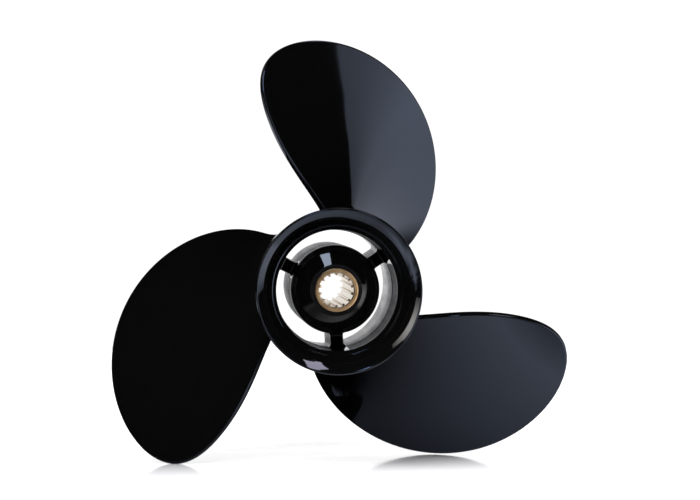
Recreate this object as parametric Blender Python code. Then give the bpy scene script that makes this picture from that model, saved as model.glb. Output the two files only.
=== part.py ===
"""Three-bladed propeller of an outboard motor, with exhaust passages through its hub.

The shaft's axis is Y, and +Y points forward, the way the propeller drives. The origin lies on that
axis at the forward end of the splined sleeve, where the thrust washer of the shaft bears.
Seen from aft, along +Y with X to the right, the propeller turns clockwise to drive ahead.
Lengths are metres and angles are degrees, unless a name or a comment says otherwise.
"""

import math

import bmesh
import bpy

MM = 0.001

# Whole propeller
DIAMETER = 260 * MM
PITCH = 279 * MM
BLADE_COUNT = 3
SEAT_GAP = 0.3 * MM
MERGE_DISTANCE = 0.01 * MM

# Stations on the shaft's axis, counted forward from the sleeve's forward end
AFT_LIP_Y = -87 * MM
RING_JOINT_Y = AFT_LIP_Y + 16 * MM
TAPER_START_Y = AFT_LIP_Y + 36 * MM
PARTING_Y = AFT_LIP_Y + 37 * MM
BARREL_FRONT_Y = AFT_LIP_Y + 107 * MM

# Outer barrel
BARREL_OUTER_R = 37.0 * MM
BARREL_NECK_R = 35.2 * MM
THROAT_R = 31.4 * MM
PARTING_R = 31.0 * MM
PASSAGE_FRONT_R = 33.0 * MM
FRONT_CHAMFER = 1.0 * MM

# Flared ring at the aft end: a round lip, a flat flare, a steeper wall and a step down to the throat
LIP_R = 42.9 * MM
LIP_ROUND_R = 0.9 * MM
LIP_OUTER_TURN = 30
LIP_INNER_TURN = -120
FLARE_INNER_R = 37.2 * MM
FLARE_INNER_DEPTH = 4.0 * MM
STEP_R = 33.8 * MM
STEP_DEPTH = 11.0 * MM
THROAT_DEPTH = 15.0 * MM
FLARE_BACK_START_DEPTH = 12.5 * MM
FLARE_BACK_MIDDLE_DEPTH = 6.4 * MM
FLARE_BACK_MIDDLE_R = 38.6 * MM

# Inner hub, which carries the rubber bush
INNER_HUB_R = 23.3 * MM
HUB_SHOULDER_DEPTH = 28.5 * MM
HUB_SHOULDER_ROUND = 8.0 * MM
HUB_SHOULDER_TURN = 47
HUB_NOSE_DEPTH = 18.5 * MM
HUB_MOUTH_R = 13.2 * MM
HUB_LIP_DEPTH = 25.0 * MM
BUSH_BORE_R = 17.0 * MM
HUB_FRONT_Y = -1.0 * MM

# Rubber bush and splined sleeve
BUSH_NECK_DEPTH = 18.5 * MM
BUSH_FRONT_Y = -3.0 * MM
SLEEVE_R = 11.35 * MM
SLEEVE_LENGTH = 70 * MM
SLEEVE_ROUGH_BORE_R = 5.0 * MM
SPLINE_TEETH = 14
SPLINE_MAJOR_R = 8.9 * MM
SPLINE_MINOR_R = 7.7 * MM
TOOTH_ROOT_SHARE = 0.38
TOOTH_CREST_SHARE = 0.22

# Ribs between the inner hub and the barrel
RIB_AFT_WIDTH = 6.8 * MM
RIB_FRONT_WIDTH = 7.4 * MM
RIB_FILLET = 2.0 * MM
RIB_FIRST_ANGLE = 33.7
RIB_FRONT_Y = AFT_LIP_Y + 74 * MM

# Blades: angles run clockwise from the reference line, the laws are polynomials in the share of the way
# from the barrel to the tip, and the root fillet spreads less at the blade's two ends than on its faces
BLADE_REFERENCE_ANGLE = 76.7
BLADE_REFERENCE_Y = AFT_LIP_Y + 55 * MM
RAKE_ANGLE = 5.5
MIDLINE_LAW = (22.4, -64.5, 45.9, -23.1)
HALF_WIDTH_LAW = (38.2, 18.0, -38.1, 24.4)
TIP_ROUNDNESS = 1.49
ROOT_THICKNESS = 8.0 * MM
TIP_THICKNESS = 2.6 * MM
TRAILING_EDGE = 3.6 * MM
LEADING_EDGE = 1.8 * MM
EDGE_ROUND_R = 0.9 * MM
SECTION_FULLNESS = 0.8
ROOT_FILLET = 6.0 * MM
CHORD_FILLET_SHARE = 0.4
FILLET_EASE = 6

# Fineness of the meshes
RING_SEGMENTS = 90
HUB_SEGMENTS = 72
BUSH_SEGMENTS = 48
BLADE_ROWS = 24
FILLET_ROWS = 3
FACE_POINTS = 13
NOSE_POINTS = 2
LIP_POINTS = 6
SHOULDER_POINTS = 4
GROOVE_POINTS = 3
CREST_POINTS = 2
RIB_ARC_POINTS = 5
RIB_FILLET_POINTS = 3
SHARP_ANGLE = 35


def clear_scene():
    """Take every object out of the scene."""
    for item in list(bpy.data.objects):
        bpy.data.objects.remove(item, do_unlink=True)


def make_material(name, colour, roughness, metallic):
    """Material with one colour, a roughness and a metallic value."""
    material = bpy.data.materials.new(name)
    material.use_nodes = True
    shader = material.node_tree.nodes["Principled BSDF"]
    shader.inputs["Base Color"].default_value = (*colour, 1.0)
    shader.inputs["Roughness"].default_value = roughness
    shader.inputs["Metallic"].default_value = metallic
    return material


def finish_mesh(shape, name):
    """Turn a bmesh into a mesh with its faces pointing out, smooth except at sharp edges."""
    bmesh.ops.remove_doubles(shape, verts=shape.verts, dist=MERGE_DISTANCE)
    bmesh.ops.recalc_face_normals(shape, faces=shape.faces)
    mesh = bpy.data.meshes.new(name)
    shape.to_mesh(mesh)
    shape.free()
    mesh.shade_smooth()
    mesh.set_sharp_from_angle(angle=math.radians(SHARP_ANGLE))
    return mesh


def add_piece(name, mesh, material, parent, turn=0.0):
    """Object of a mesh, turned clockwise about the shaft's axis as seen from aft."""
    piece = bpy.data.objects.new(name, mesh)
    if not mesh.materials:
        mesh.materials.append(material)
    piece.rotation_euler = (0.0, math.radians(turn), 0.0)
    piece.parent = parent
    bpy.context.scene.collection.objects.link(piece)
    return piece


def arc(centre, radius, start, end, count):
    """Points on an arc in a plane, both ends included."""
    angles = [math.radians(start + (end - start) * i / (count - 1)) for i in range(count)]
    return [(centre[0] + radius * math.cos(a), centre[1] + radius * math.sin(a)) for a in angles]


def turned(name, outline, segments):
    """Mesh of a closed outline of (radius, y) points spun about the shaft's axis."""
    shape = bmesh.new()
    corners = [shape.verts.new((radius, y, 0.0)) for radius, y in outline]
    sides = [shape.edges.new((corners[i - 1], corners[i])) for i in range(len(corners))]
    bmesh.ops.spin(
        shape,
        geom=corners + sides,
        cent=(0.0, 0.0, 0.0),
        axis=(0.0, 1.0, 0.0),
        angle=math.tau,
        steps=segments,
    )
    return finish_mesh(shape, name)


def loft(shape, loops):
    """Join a row of closed loops with equal counts by bands of faces, and return their vertices."""
    rows = [[shape.verts.new(point) for point in loop] for loop in loops]
    for low, high in zip(rows, rows[1:]):
        for i in range(len(low)):
            shape.faces.new((low[i - 1], low[i], high[i], high[i - 1]))
    return rows


def bar(name, loops):
    """Mesh through a row of closed loops, with a flat cap at each end."""
    shape = bmesh.new()
    rows = loft(shape, loops)
    shape.faces.new(rows[0])
    shape.faces.new(rows[-1])
    return finish_mesh(shape, name)


def flared_ring_outline():
    """Outline of the flared ring, from its joint with the barrel round the lip and back inside."""
    centre = (LIP_R - LIP_ROUND_R, AFT_LIP_Y + LIP_ROUND_R)
    lip = arc(centre, LIP_ROUND_R, LIP_OUTER_TURN, LIP_INNER_TURN, LIP_POINTS)
    return [
        (BARREL_NECK_R, RING_JOINT_Y),
        (BARREL_NECK_R, AFT_LIP_Y + FLARE_BACK_START_DEPTH),
        (FLARE_BACK_MIDDLE_R, AFT_LIP_Y + FLARE_BACK_MIDDLE_DEPTH),
        *lip,
        (FLARE_INNER_R, AFT_LIP_Y + FLARE_INNER_DEPTH),
        (STEP_R, AFT_LIP_Y + STEP_DEPTH),
        (THROAT_R, AFT_LIP_Y + THROAT_DEPTH),
        (THROAT_R, RING_JOINT_Y),
    ]


def barrel_outline():
    """Outline of the barrel's wall, whose passage is narrowest at the parting line of its cores."""
    return [
        (THROAT_R, RING_JOINT_Y + SEAT_GAP),
        (BARREL_NECK_R, RING_JOINT_Y + SEAT_GAP),
        (BARREL_OUTER_R, TAPER_START_Y),
        (BARREL_OUTER_R, BARREL_FRONT_Y - FRONT_CHAMFER),
        (BARREL_OUTER_R - FRONT_CHAMFER, BARREL_FRONT_Y),
        (PASSAGE_FRONT_R, BARREL_FRONT_Y),
        (PARTING_R, PARTING_Y),
    ]


def inner_hub_outline():
    """Outline of the inner hub: a conical nose with a round shoulder, and a stepped bore."""
    centre = (INNER_HUB_R - HUB_SHOULDER_ROUND, AFT_LIP_Y + HUB_SHOULDER_DEPTH)
    shoulder = arc(centre, HUB_SHOULDER_ROUND, -HUB_SHOULDER_TURN, 0, SHOULDER_POINTS)
    return [
        (HUB_MOUTH_R, AFT_LIP_Y + HUB_LIP_DEPTH),
        (HUB_MOUTH_R, AFT_LIP_Y + HUB_NOSE_DEPTH),
        *shoulder,
        (INNER_HUB_R, HUB_FRONT_Y),
        (BUSH_BORE_R, HUB_FRONT_Y),
        (BUSH_BORE_R, AFT_LIP_Y + HUB_LIP_DEPTH),
    ]


def bush_outline():
    """Outline of the rubber bush, with a neck that shows between the hub's mouth and the sleeve."""
    bore = SLEEVE_R + SEAT_GAP
    body_aft_y = AFT_LIP_Y + HUB_LIP_DEPTH + SEAT_GAP
    return [
        (bore, AFT_LIP_Y + BUSH_NECK_DEPTH),
        (HUB_MOUTH_R - SEAT_GAP, AFT_LIP_Y + BUSH_NECK_DEPTH),
        (HUB_MOUTH_R - SEAT_GAP, body_aft_y),
        (BUSH_BORE_R - SEAT_GAP, body_aft_y),
        (BUSH_BORE_R - SEAT_GAP, BUSH_FRONT_Y),
        (bore, BUSH_FRONT_Y),
    ]


def sleeve_outline():
    """Outline of the sleeve before its splines are broached."""
    return [
        (SLEEVE_ROUGH_BORE_R, -SLEEVE_LENGTH),
        (SLEEVE_R, -SLEEVE_LENGTH),
        (SLEEVE_R, 0.0),
        (SLEEVE_ROUGH_BORE_R, 0.0),
    ]


def spline_section():
    """Section of the splined bore: wide grooves at the major radius and narrow teeth between."""
    step = 360 / SPLINE_TEETH
    points = []
    for tooth in range(SPLINE_TEETH):
        middle = tooth * step + step / 2
        half_root = step * TOOTH_ROOT_SHARE / 2
        half_crest = step * TOOTH_CREST_SHARE / 2
        start = middle - step + half_root
        points += arc((0, 0), SPLINE_MAJOR_R, start, middle - half_root, GROOVE_POINTS)
        points += arc((0, 0), SPLINE_MINOR_R, middle - half_crest, middle + half_crest, CREST_POINTS)
    return points


def broach_mesh():
    """Cutter with the shape of the splined bore, longer than the sleeve at both ends."""
    overrun = 5 * MM
    section = spline_section()
    ends = (-SLEEVE_LENGTH - overrun, overrun)
    return bar("spline_broach", [[(x, y, z) for x, z in section] for y in ends])


def passage_radius(y):
    """Radius of the exhaust passage's outer wall at a station forward of the parting line."""
    share = (y - PARTING_Y) / (BARREL_FRONT_Y - PARTING_Y)
    return PARTING_R + (PASSAGE_FRONT_R - PARTING_R) * share


def rib_section(y, width):
    """Section of a rib along +X: two flanks that spread in fillets where they meet both walls."""
    inner = INNER_HUB_R + SEAT_GAP
    outer = passage_radius(y) - SEAT_GAP
    half = width / 2
    side = []
    for i in range(RIB_FILLET_POINTS + 1):
        turn = math.pi / 2 * i / RIB_FILLET_POINTS
        side.append((inner + RIB_FILLET * (1 - math.cos(turn)), half + RIB_FILLET * (1 - math.sin(turn))))
    for i in range(RIB_FILLET_POINTS, -1, -1):
        turn = math.pi / 2 * i / RIB_FILLET_POINTS
        side.append((outer - RIB_FILLET * (1 - math.cos(turn)), half + RIB_FILLET * (1 - math.sin(turn))))
    side[0] = on_circle(inner, side[0][1])
    side[-1] = on_circle(outer, side[-1][1])
    return side + end_arc(outer, side[-1][1]) + mirrored(side) + end_arc(inner, -side[0][1])


def on_circle(radius, height):
    """Point on a circle at a height over the X axis."""
    return (math.sqrt(radius * radius - height * height), height)


def end_arc(radius, height):
    """Points of a rib's end between its two flanks, on the wall's circle and without the corners."""
    heights = [height * (1 - 2 * i / (RIB_ARC_POINTS + 1)) for i in range(1, RIB_ARC_POINTS + 1)]
    return [on_circle(radius, h) for h in heights]


def mirrored(side):
    """The same flank on the other side of the X axis, run the other way."""
    return [(x, -z) for x, z in reversed(side)]


def rib_mesh():
    """Rib from the inner hub to the barrel's wall, which thickens forward from the parting line."""
    stations = ((PARTING_Y, RIB_AFT_WIDTH), (RIB_FRONT_Y, RIB_FRONT_WIDTH))
    return bar("rib", [[(x, y, z) for x, z in rib_section(y, width)] for y, width in stations])


def law(coefficients, share):
    """Value of a polynomial in a share from 0 to 1."""
    return sum(value * share**power for power, value in enumerate(coefficients))


def root_fillet(height):
    """How far the root fillet spreads at a height over the barrel."""
    rise = max(0.0, ROOT_FILLET - height)
    return ROOT_FILLET - math.sqrt(ROOT_FILLET**2 - rise**2)


def blade_point(radius, turn, offset):
    """Point of a blade: a turn clockwise in radians on the helix, and an offset forward across it."""
    slope = math.atan2(PITCH, math.tau * radius)
    turn_at = turn - offset * math.sin(slope) / radius
    angle = math.radians(BLADE_REFERENCE_ANGLE) - turn_at
    rake = math.tan(math.radians(RAKE_ANGLE)) * (radius - BARREL_OUTER_R)
    y = BLADE_REFERENCE_Y - rake + PITCH * turn / math.tau + offset * math.cos(slope)
    return (radius * math.cos(angle), y, radius * math.sin(angle))


def blade_faces(radius):
    """Turns and offsets of a blade's aft face and forward back, and how far its round edges reach.

    The rim thins from the blunt trailing edge to the leading one, and the section's body stands on it.
    """
    tip_radius = DIAMETER / 2
    share = max(0.0, (radius - BARREL_OUTER_R) / (tip_radius - BARREL_OUTER_R))
    middle = math.radians(law(MIDLINE_LAW, share))
    half = math.radians(law(HALF_WIDTH_LAW, share)) * math.sqrt(1 - share**TIP_ROUNDNESS)
    spread = root_fillet(radius - BARREL_OUTER_R)
    along = radius / math.cos(math.atan2(PITCH, math.tau * radius))
    reach = (EDGE_ROUND_R + CHORD_FILLET_SHARE * spread) / along
    half += CHORD_FILLET_SHARE * spread / along
    most = ROOT_THICKNESS + (TIP_THICKNESS - ROOT_THICKNESS) * share
    face = []
    back = []
    for i in range(FACE_POINTS):
        place = (1 - math.cos(math.pi * i / (FACE_POINTS - 1))) / 2
        turn = middle + (2 * place - 1) * (half - reach)
        rim = TRAILING_EDGE + (LEADING_EDGE - TRAILING_EDGE) * place
        body = max(0.0, most - rim) * (4 * place * (1 - place)) ** SECTION_FULLNESS
        lift = spread * (1 - (1 - CHORD_FILLET_SHARE) * abs(2 * place - 1) ** FILLET_EASE)
        face.append((turn, -lift))
        back.append((turn, rim + body + lift))
    return face, back, reach


def blade_section(radius):
    """Closed section of a blade on the cylinder of a radius, from the trailing edge and back."""
    face, back, reach = blade_faces(radius)
    section = face + nose(face[-1], back[-1], reach, 1) + back[::-1] + nose(back[0], face[0], reach, -1)
    return [blade_point(radius, turn, offset) for turn, offset in section]


def nose(start, end, reach, side):
    """Points of a round edge between a blade's two faces, without its ends."""
    points = []
    for i in range(1, NOSE_POINTS + 1):
        turn = math.pi * i / (NOSE_POINTS + 1)
        share = (1 - math.cos(turn)) / 2
        offset = start[1] + (end[1] - start[1]) * share
        points.append((start[0] + side * reach * math.sin(turn), offset))
    return points


def cap_root(shape, section, radius):
    """Close a blade's root over a spine halfway through it, so that the cap follows the barrel."""
    face, back, _ = blade_faces(radius)
    spine = []
    for low, high in zip(face, back):
        spine.append(shape.verts.new(blade_point(radius, low[0], (low[1] + high[1]) / 2)))
    face_side = section[:FACE_POINTS]
    back_side = section[FACE_POINTS + NOSE_POINTS : 2 * FACE_POINTS + NOSE_POINTS][::-1]
    for low, high in ((face_side, spine), (spine, back_side)):
        for i in range(FACE_POINTS - 1):
            shape.faces.new((low[i], low[i + 1], high[i + 1]))
            shape.faces.new((low[i], high[i + 1], high[i]))
    lead_end = section[FACE_POINTS - 1 : FACE_POINTS + NOSE_POINTS + 1]
    trail_end = section[-NOSE_POINTS - 1 :] + section[:1]
    for end, middle in ((lead_end, spine[-1]), (trail_end, spine[0])):
        for i in range(len(end) - 1):
            shape.faces.new((end[i], end[i + 1], middle))


def blade_mesh():
    """Blade from its filleted root to its tip."""
    tip_radius = DIAMETER / 2
    root_radius = BARREL_OUTER_R + SEAT_GAP
    radii = [root_radius]
    for i in range(1, FILLET_ROWS):
        radii.append(BARREL_OUTER_R + ROOT_FILLET * (1 - math.cos(math.pi / 2 * i / FILLET_ROWS)))
    for i in range(BLADE_ROWS):
        share = math.sin(math.pi / 2 * i / BLADE_ROWS)
        start = BARREL_OUTER_R + ROOT_FILLET
        radii.append(start + (tip_radius - start) * share)
    shape = bmesh.new()
    rows = loft(shape, [blade_section(radius) for radius in radii])
    cap_root(shape, rows[0], root_radius)
    tip_offset = (TRAILING_EDGE + LEADING_EDGE) / 4
    tip = shape.verts.new(blade_point(tip_radius, math.radians(law(MIDLINE_LAW, 1.0)), tip_offset))
    for i in range(len(rows[-1])):
        shape.faces.new((rows[-1][i - 1], rows[-1][i], tip))
    return finish_mesh(shape, "blade")


def build_casting(parent, paint):
    """The painted aluminium casting: barrel, flared ring, inner hub, ribs and blades."""
    add_piece("outer_barrel", turned("outer_barrel", barrel_outline(), RING_SEGMENTS), paint, parent)
    add_piece("flared_ring", turned("flared_ring", flared_ring_outline(), RING_SEGMENTS), paint, parent)
    add_piece("inner_hub", turned("inner_hub", inner_hub_outline(), HUB_SEGMENTS), paint, parent)
    rib = rib_mesh()
    blade = blade_mesh()
    for i in range(BLADE_COUNT):
        turn = 360 / BLADE_COUNT * i
        add_piece(f"rib_{i + 1}", rib, paint, parent, turn - RIB_FIRST_ANGLE)
        add_piece(f"blade_{i + 1}", blade, paint, parent, turn)


def build_drive(parent, rubber, brass):
    """The rubber bush and the brass sleeve with its broached splines."""
    add_piece("rubber_bush", turned("rubber_bush", bush_outline(), BUSH_SEGMENTS), rubber, parent)
    sleeve_mesh = turned("splined_sleeve", sleeve_outline(), BUSH_SEGMENTS)
    sleeve = add_piece("splined_sleeve", sleeve_mesh, brass, parent)
    broach = add_piece("spline_broach", broach_mesh(), brass, parent)
    broach.hide_render = True
    broach.display_type = "WIRE"
    cut = sleeve.modifiers.new("broached_splines", "BOOLEAN")
    cut.operation = "DIFFERENCE"
    cut.object = broach


def main():
    """Build the whole propeller."""
    clear_scene()
    axis = bpy.data.objects.new("shaft_axis", None)
    bpy.context.scene.collection.objects.link(axis)
    paint = make_material("black_gloss_paint", (0.008, 0.009, 0.013), 0.12, 0.0)
    rubber = make_material("black_rubber", (0.02, 0.02, 0.02), 0.8, 0.0)
    brass = make_material("brass", (0.62, 0.42, 0.2), 0.35, 1.0)
    build_casting(axis, paint)
    build_drive(axis, rubber, brass)


main()
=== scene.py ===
"""Looks of an outboard motor's three-bladed propeller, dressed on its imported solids.

The shaft's axis is Y and +Y points forward, so the aft side faces the camera. The origin lies on the axis
at the forward end of the splined sleeve. A depth is counted in millimetres, forward from the aft lip of
the flared ring, and angles round the axis run anticlockwise from +X as seen from aft.
Lengths are metres and angles are degrees, unless a name or a comment says otherwise.
"""

import logging
import math
from collections.abc import Mapping, Sequence
from dataclasses import dataclass, field
from enum import Enum
from typing import Any

import bpy
import bmesh
import numpy as np
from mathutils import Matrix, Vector
from numpy.typing import NDArray


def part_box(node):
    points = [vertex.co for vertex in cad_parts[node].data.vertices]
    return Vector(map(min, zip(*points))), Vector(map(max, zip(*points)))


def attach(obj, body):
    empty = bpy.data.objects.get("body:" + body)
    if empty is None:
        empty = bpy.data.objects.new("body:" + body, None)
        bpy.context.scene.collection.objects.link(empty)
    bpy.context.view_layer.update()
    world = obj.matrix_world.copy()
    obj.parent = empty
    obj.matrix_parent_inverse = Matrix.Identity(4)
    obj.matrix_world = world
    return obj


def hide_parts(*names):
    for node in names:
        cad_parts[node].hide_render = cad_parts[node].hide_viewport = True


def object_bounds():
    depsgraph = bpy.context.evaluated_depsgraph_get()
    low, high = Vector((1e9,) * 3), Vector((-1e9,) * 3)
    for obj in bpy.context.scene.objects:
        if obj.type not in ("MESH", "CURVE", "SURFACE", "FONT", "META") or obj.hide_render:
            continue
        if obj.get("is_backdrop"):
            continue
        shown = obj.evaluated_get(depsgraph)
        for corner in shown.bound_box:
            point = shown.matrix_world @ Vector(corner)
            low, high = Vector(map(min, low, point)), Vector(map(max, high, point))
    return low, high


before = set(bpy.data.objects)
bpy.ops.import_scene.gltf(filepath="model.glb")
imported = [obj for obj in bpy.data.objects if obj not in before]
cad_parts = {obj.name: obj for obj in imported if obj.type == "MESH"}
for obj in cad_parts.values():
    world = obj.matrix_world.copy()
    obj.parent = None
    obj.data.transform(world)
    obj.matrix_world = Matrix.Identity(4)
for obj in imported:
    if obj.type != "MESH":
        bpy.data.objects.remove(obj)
CAD_BOX = [list(corner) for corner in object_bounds()]

Array = NDArray[np.float64]
Faces = Sequence[Sequence[int]]
Piece = bpy.types.Object
Material = bpy.types.Material
Tree = bpy.types.NodeTree
Node = bpy.types.Node
Socket = bpy.types.NodeSocket
Colour = tuple[float, float, float, float]
Place = tuple[float, float, float]
Span = tuple[float, float]
Outline = tuple[Place, ...]  # corners of (radius, depth, rounding) in millimetres

log = logging.getLogger("propeller")

MM = 0.001
BODY = "root"
COVER = "cover"
GLOW = "glow"
POLISH = "polish"

AFT_LIP_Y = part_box("flared_ring")[0].y
FLOOR_Z = CAD_BOX[0][2]

RIB_ANGLES = (33.7, 153.7, 273.7)
BLADE_TURNS = (0, 120, 240)

SHARP_ANGLE = 38  # bend past which an edge is shaded sharp
ARC_STEP = 9  # turn of an arc between two of its points
SHORTEST_MM = 1e-4  # gap between two points of an outline that are kept apart
NEARLY_ZERO = 1e-9

# Rings that a wave texture of scale 1 draws on a unit of length.
WAVES_PER_UNIT = 20 / math.tau


def depth_of(y: float) -> float:
    """Turn a station in metres into a depth in millimetres."""
    return (y - AFT_LIP_Y) / MM


RING_JOINT = depth_of(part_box("flared_ring")[1].y)
BARREL_FRONT = depth_of(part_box("outer_barrel")[1].y)
HUB_FRONT = depth_of(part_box("inner_hub")[1].y)
SLEEVE_FRONT = depth_of(0.0)


class Slot(Enum):
    """Material slots of the record."""

    PAINT = "black_gloss_paint"
    ALUMINIUM = "cast_aluminium"
    RUBBER = "rubber"
    BRASS = "brass"


def linear(hex_code: str) -> Colour:
    """Turn an sRGB colour into the linear one that shaders take.

    Args:
        hex_code: The colour as "#RRGGBB".

    Returns:
        Linear red, green and blue, with an alpha of 1.
    """
    shares = [int(hex_code[i : i + 2], 16) / 255 for i in (1, 3, 5)]
    red, green, blue = (s / 12.92 if s <= 0.04045 else ((s + 0.055) / 1.055) ** 2.4 for s in shares)
    return (red, green, blue, 1.0)


def add_node(
    tree: Tree,
    kind: str,
    settings: Mapping[str | int, Any] | None = None,
    links: Mapping[str | int, Socket | Node] | None = None,
) -> Node:
    """Add a node to a tree, set it and link it.

    Args:
        tree: The node tree.
        kind: The node's type, without its ShaderNode prefix.
        settings: Values by the name or number of an input, or by the name of a property. The value of a
            color_ramp is the place and colour of each of its two stops.
        links: Output sockets of other nodes, by the name or number of the input that they feed. A node
            stands for its first output.

    Returns:
        The new node.
    """
    node = tree.nodes.new("ShaderNode" + kind)
    for key, value in (settings or {}).items():
        if key == "color_ramp":
            for stop, (place, colour) in zip(node.color_ramp.elements, value):
                stop.position, stop.color = place, colour
        elif isinstance(key, int) or key in node.inputs:
            node.inputs[key].default_value = value
        else:
            setattr(node, key, value)
    for key, source in (links or {}).items():
        tree.links.new(source.outputs[0] if isinstance(source, Node) else source, node.inputs[key])
    return node


def stops(span: Span, low: str, high: str) -> tuple[tuple[float, Colour], ...]:
    """Stops of a colour ramp that goes from one sRGB colour to another over a span."""
    return tuple(zip(span, (linear(low), linear(high))))


def per_metre(size_mm: float) -> float:
    """Scale of a noise whose grain has this size in millimetres."""
    return 1 / (size_mm * MM)


def smooth_step(low: float, high: float, values: Array) -> Array:
    """Rise from 0 at low to 1 at high along 3 s^2 - 2 s^3, where s is the share of the way."""
    share = np.clip((values - low) / (high - low), 0.0, 1.0)
    return share * share * (3.0 - 2.0 * share)


def rounded(corners: Outline, run: float = 0.8) -> Array:
    """Round the corners of a turned piece's closed outline.

    A corner is replaced by the arc that touches both of its sides. The arc's centre lies on the corner's
    bisector, at the rounding over the sine of half the corner's angle. Straight runs are cut into equal
    pieces, so that the shading of an arc stays off the flats.

    Args:
        corners: Radius, depth and rounding of each corner in millimetres, in order.
        run: Longest piece of a straight run in millimetres.

    Returns:
        The outline's points of (radius, y) in metres.
    """
    points = np.array(corners)[:, :2] + (0.0, AFT_LIP_Y / MM)
    arcs = []
    for i, (_, _, rounding) in enumerate(corners):
        corner = points[i]
        back = points[i - 1] - corner
        ahead = points[(i + 1) % len(points)] - corner
        back /= np.linalg.norm(back)
        ahead /= np.linalg.norm(ahead)
        half = math.acos(float(np.clip(back @ ahead, -1.0, 1.0))) / 2
        if rounding == 0:
            arcs.append(corner[None, :])
            continue
        middle = corner + (back + ahead) / np.linalg.norm(back + ahead) * rounding / math.sin(half)
        start = corner + back * rounding / math.tan(half) - middle
        end = corner + ahead * rounding / math.tan(half) - middle
        sweep = math.pi - 2 * half
        share = np.linspace(0.0, 1.0, max(4, math.ceil(math.degrees(sweep) / ARC_STEP)) + 1)[:, None]
        arc = start * np.sin((1 - share) * sweep) + end * np.sin(share * sweep)
        arcs.append(middle + arc / math.sin(sweep))
    pieces = []
    for arc, following in zip(arcs, arcs[1:] + arcs[:1]):
        start, end = arc[-1], following[0]
        count = max(1, math.ceil(float(np.linalg.norm(end - start)) / run))
        share = np.linspace(0.0, 1.0, count + 1)[1:-1, None]
        pieces += [arc, start + (end - start) * share]
    outline = np.concatenate(pieces)
    keep = np.linalg.norm(outline - np.roll(outline, 1, axis=0), axis=1) > SHORTEST_MM
    return outline[keep] * MM


def turned(outline: Array, segments: int) -> Array:
    """Carry a closed outline round the shaft's axis.

    The point of the outline at radius r and station y goes to (r cos a, y, r sin a) at each angle a.

    Args:
        outline: Points of (radius, y) in metres.
        segments: Number of equal steps round the axis.

    Returns:
        A grid of points, (segments, len(outline), 3), closed both ways.
    """
    angles = np.linspace(0.0, math.tau, segments, endpoint=False)[:, None]
    radius, station = outline[None, :, 0], outline[None, :, 1]
    return np.stack([radius * np.cos(angles), station + 0.0 * angles, radius * np.sin(angles)], axis=-1)


def turn_about_shaft(points: Array, degrees: float) -> Array:
    """Turn points about Y, clockwise as seen from aft: x' = x cos + z sin and z' = z cos - x sin.

    Args:
        points: Points, whose last axis holds x, y and z.
        degrees: The turn.

    Returns:
        The turned points.
    """
    cos, sin = math.cos(math.radians(degrees)), math.sin(math.radians(degrees))
    x, y, z = np.moveaxis(points, -1, 0)
    return np.stack([x * cos + z * sin, y, z * cos - x * sin], axis=-1)


def radius_and_depth(points: Array) -> tuple[Array, Array]:
    """Distance of each point from the shaft's axis, and its depth, both in millimetres."""
    return np.hypot(points[..., 0], points[..., 2]) / MM, (points[..., 1] - AFT_LIP_Y) / MM


def rib_distance(points: Array) -> Array:
    """Angle in degrees from each point to the nearest rib's middle, round the shaft's axis.

    Args:
        points: Points, whose last axis holds x, y and z.

    Returns:
        The angle of each point.
    """
    angle = np.degrees(np.arctan2(points[..., 2], points[..., 0]))
    gaps = [np.abs((angle - rib + 180.0) % 360.0 - 180.0) for rib in RIB_ANGLES]
    return np.minimum.reduce(gaps)


def painted_rib_shade(points: Array, angles: Span, depths: Span) -> Array:
    """Painted shade beside the ribs, as a share of paint that fades over a span of angles and one of depths.
    """
    _, depth = radius_and_depth(points)
    return (1 - smooth_step(*angles, rib_distance(points))) * (1 - smooth_step(*depths, depth))


def grid_quads(rows: int, columns: int, wrap_rows: bool) -> list[list[int]]:
    """Number the quads of a grid of points whose columns close on themselves.

    Args:
        rows: Number of rows.
        columns: Number of points in a row.
        wrap_rows: True if the last row also joins the first.

    Returns:
        The four corner numbers of each quad.
    """
    index = np.arange(rows * columns).reshape(rows, columns)
    ahead = np.roll(index, -1, axis=0)
    if not wrap_rows:
        index, ahead = index[:-1], ahead[:-1]
    corners = (index, np.roll(index, -1, axis=1), np.roll(ahead, -1, axis=1), ahead)
    return np.stack(corners, axis=-1).reshape(-1, 4).tolist()


def ladder(near: NDArray[np.int64], far: NDArray[np.int64]) -> list[list[int]]:
    """Number the quads between two rows of points that lie across from each other."""
    return np.stack([near[:-1], near[1:], far[1:], far[:-1]], axis=-1).tolist()


def folded_cap(first: int, columns: int) -> list[list[int]]:
    """Close a row of points by a ladder between its two sides.

    The row starts at one end of the section and passes the other end halfway, so that its point i lies
    across from the point columns - i. The rungs join each such pair.

    Args:
        first: Number of the row's first point.
        columns: Number of points in the row, an even one.

    Returns:
        The faces: a triangle at each end, and quads between.
    """
    half = columns // 2
    near = first + np.arange(1, half)
    far = first + columns - np.arange(1, half)
    ends = [[first, int(near[0]), int(far[0])], [int(near[-1]), first + half, int(far[-1])]]
    return ladder(near, far) + ends


def new_mesh(name: str, points: Array, faces: Faces, attribute: str, values: Array | None) -> bpy.types.Mesh:
    """Make a mesh.

    Args:
        name: Its name.
        points: Vertices, as an array whose last axis holds x, y and z.
        faces: Corner numbers of each face.
        attribute: Name of the attribute that keeps the values.
        values: One value for each vertex, or None.

    Returns:
        The mesh.
    """
    mesh = bpy.data.meshes.new(name)
    mesh.from_pydata(points.reshape(-1, 3).tolist(), [], faces)
    if values is not None:
        layer = mesh.attributes.new(attribute, "FLOAT", "POINT")
        layer.data.foreach_set("value", values.astype(np.float32).ravel())
    return mesh


def add_object(name: str, data: bpy.types.ID) -> bpy.types.Object:
    """Put a mesh, lamp or camera into the scene, at the origin and unturned.

    Args:
        name: The object's name.
        data: Its mesh, lamp or camera.

    Returns:
        The object.
    """
    item = bpy.data.objects.new(name, data)
    bpy.context.scene.collection.objects.link(item)
    return item


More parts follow.
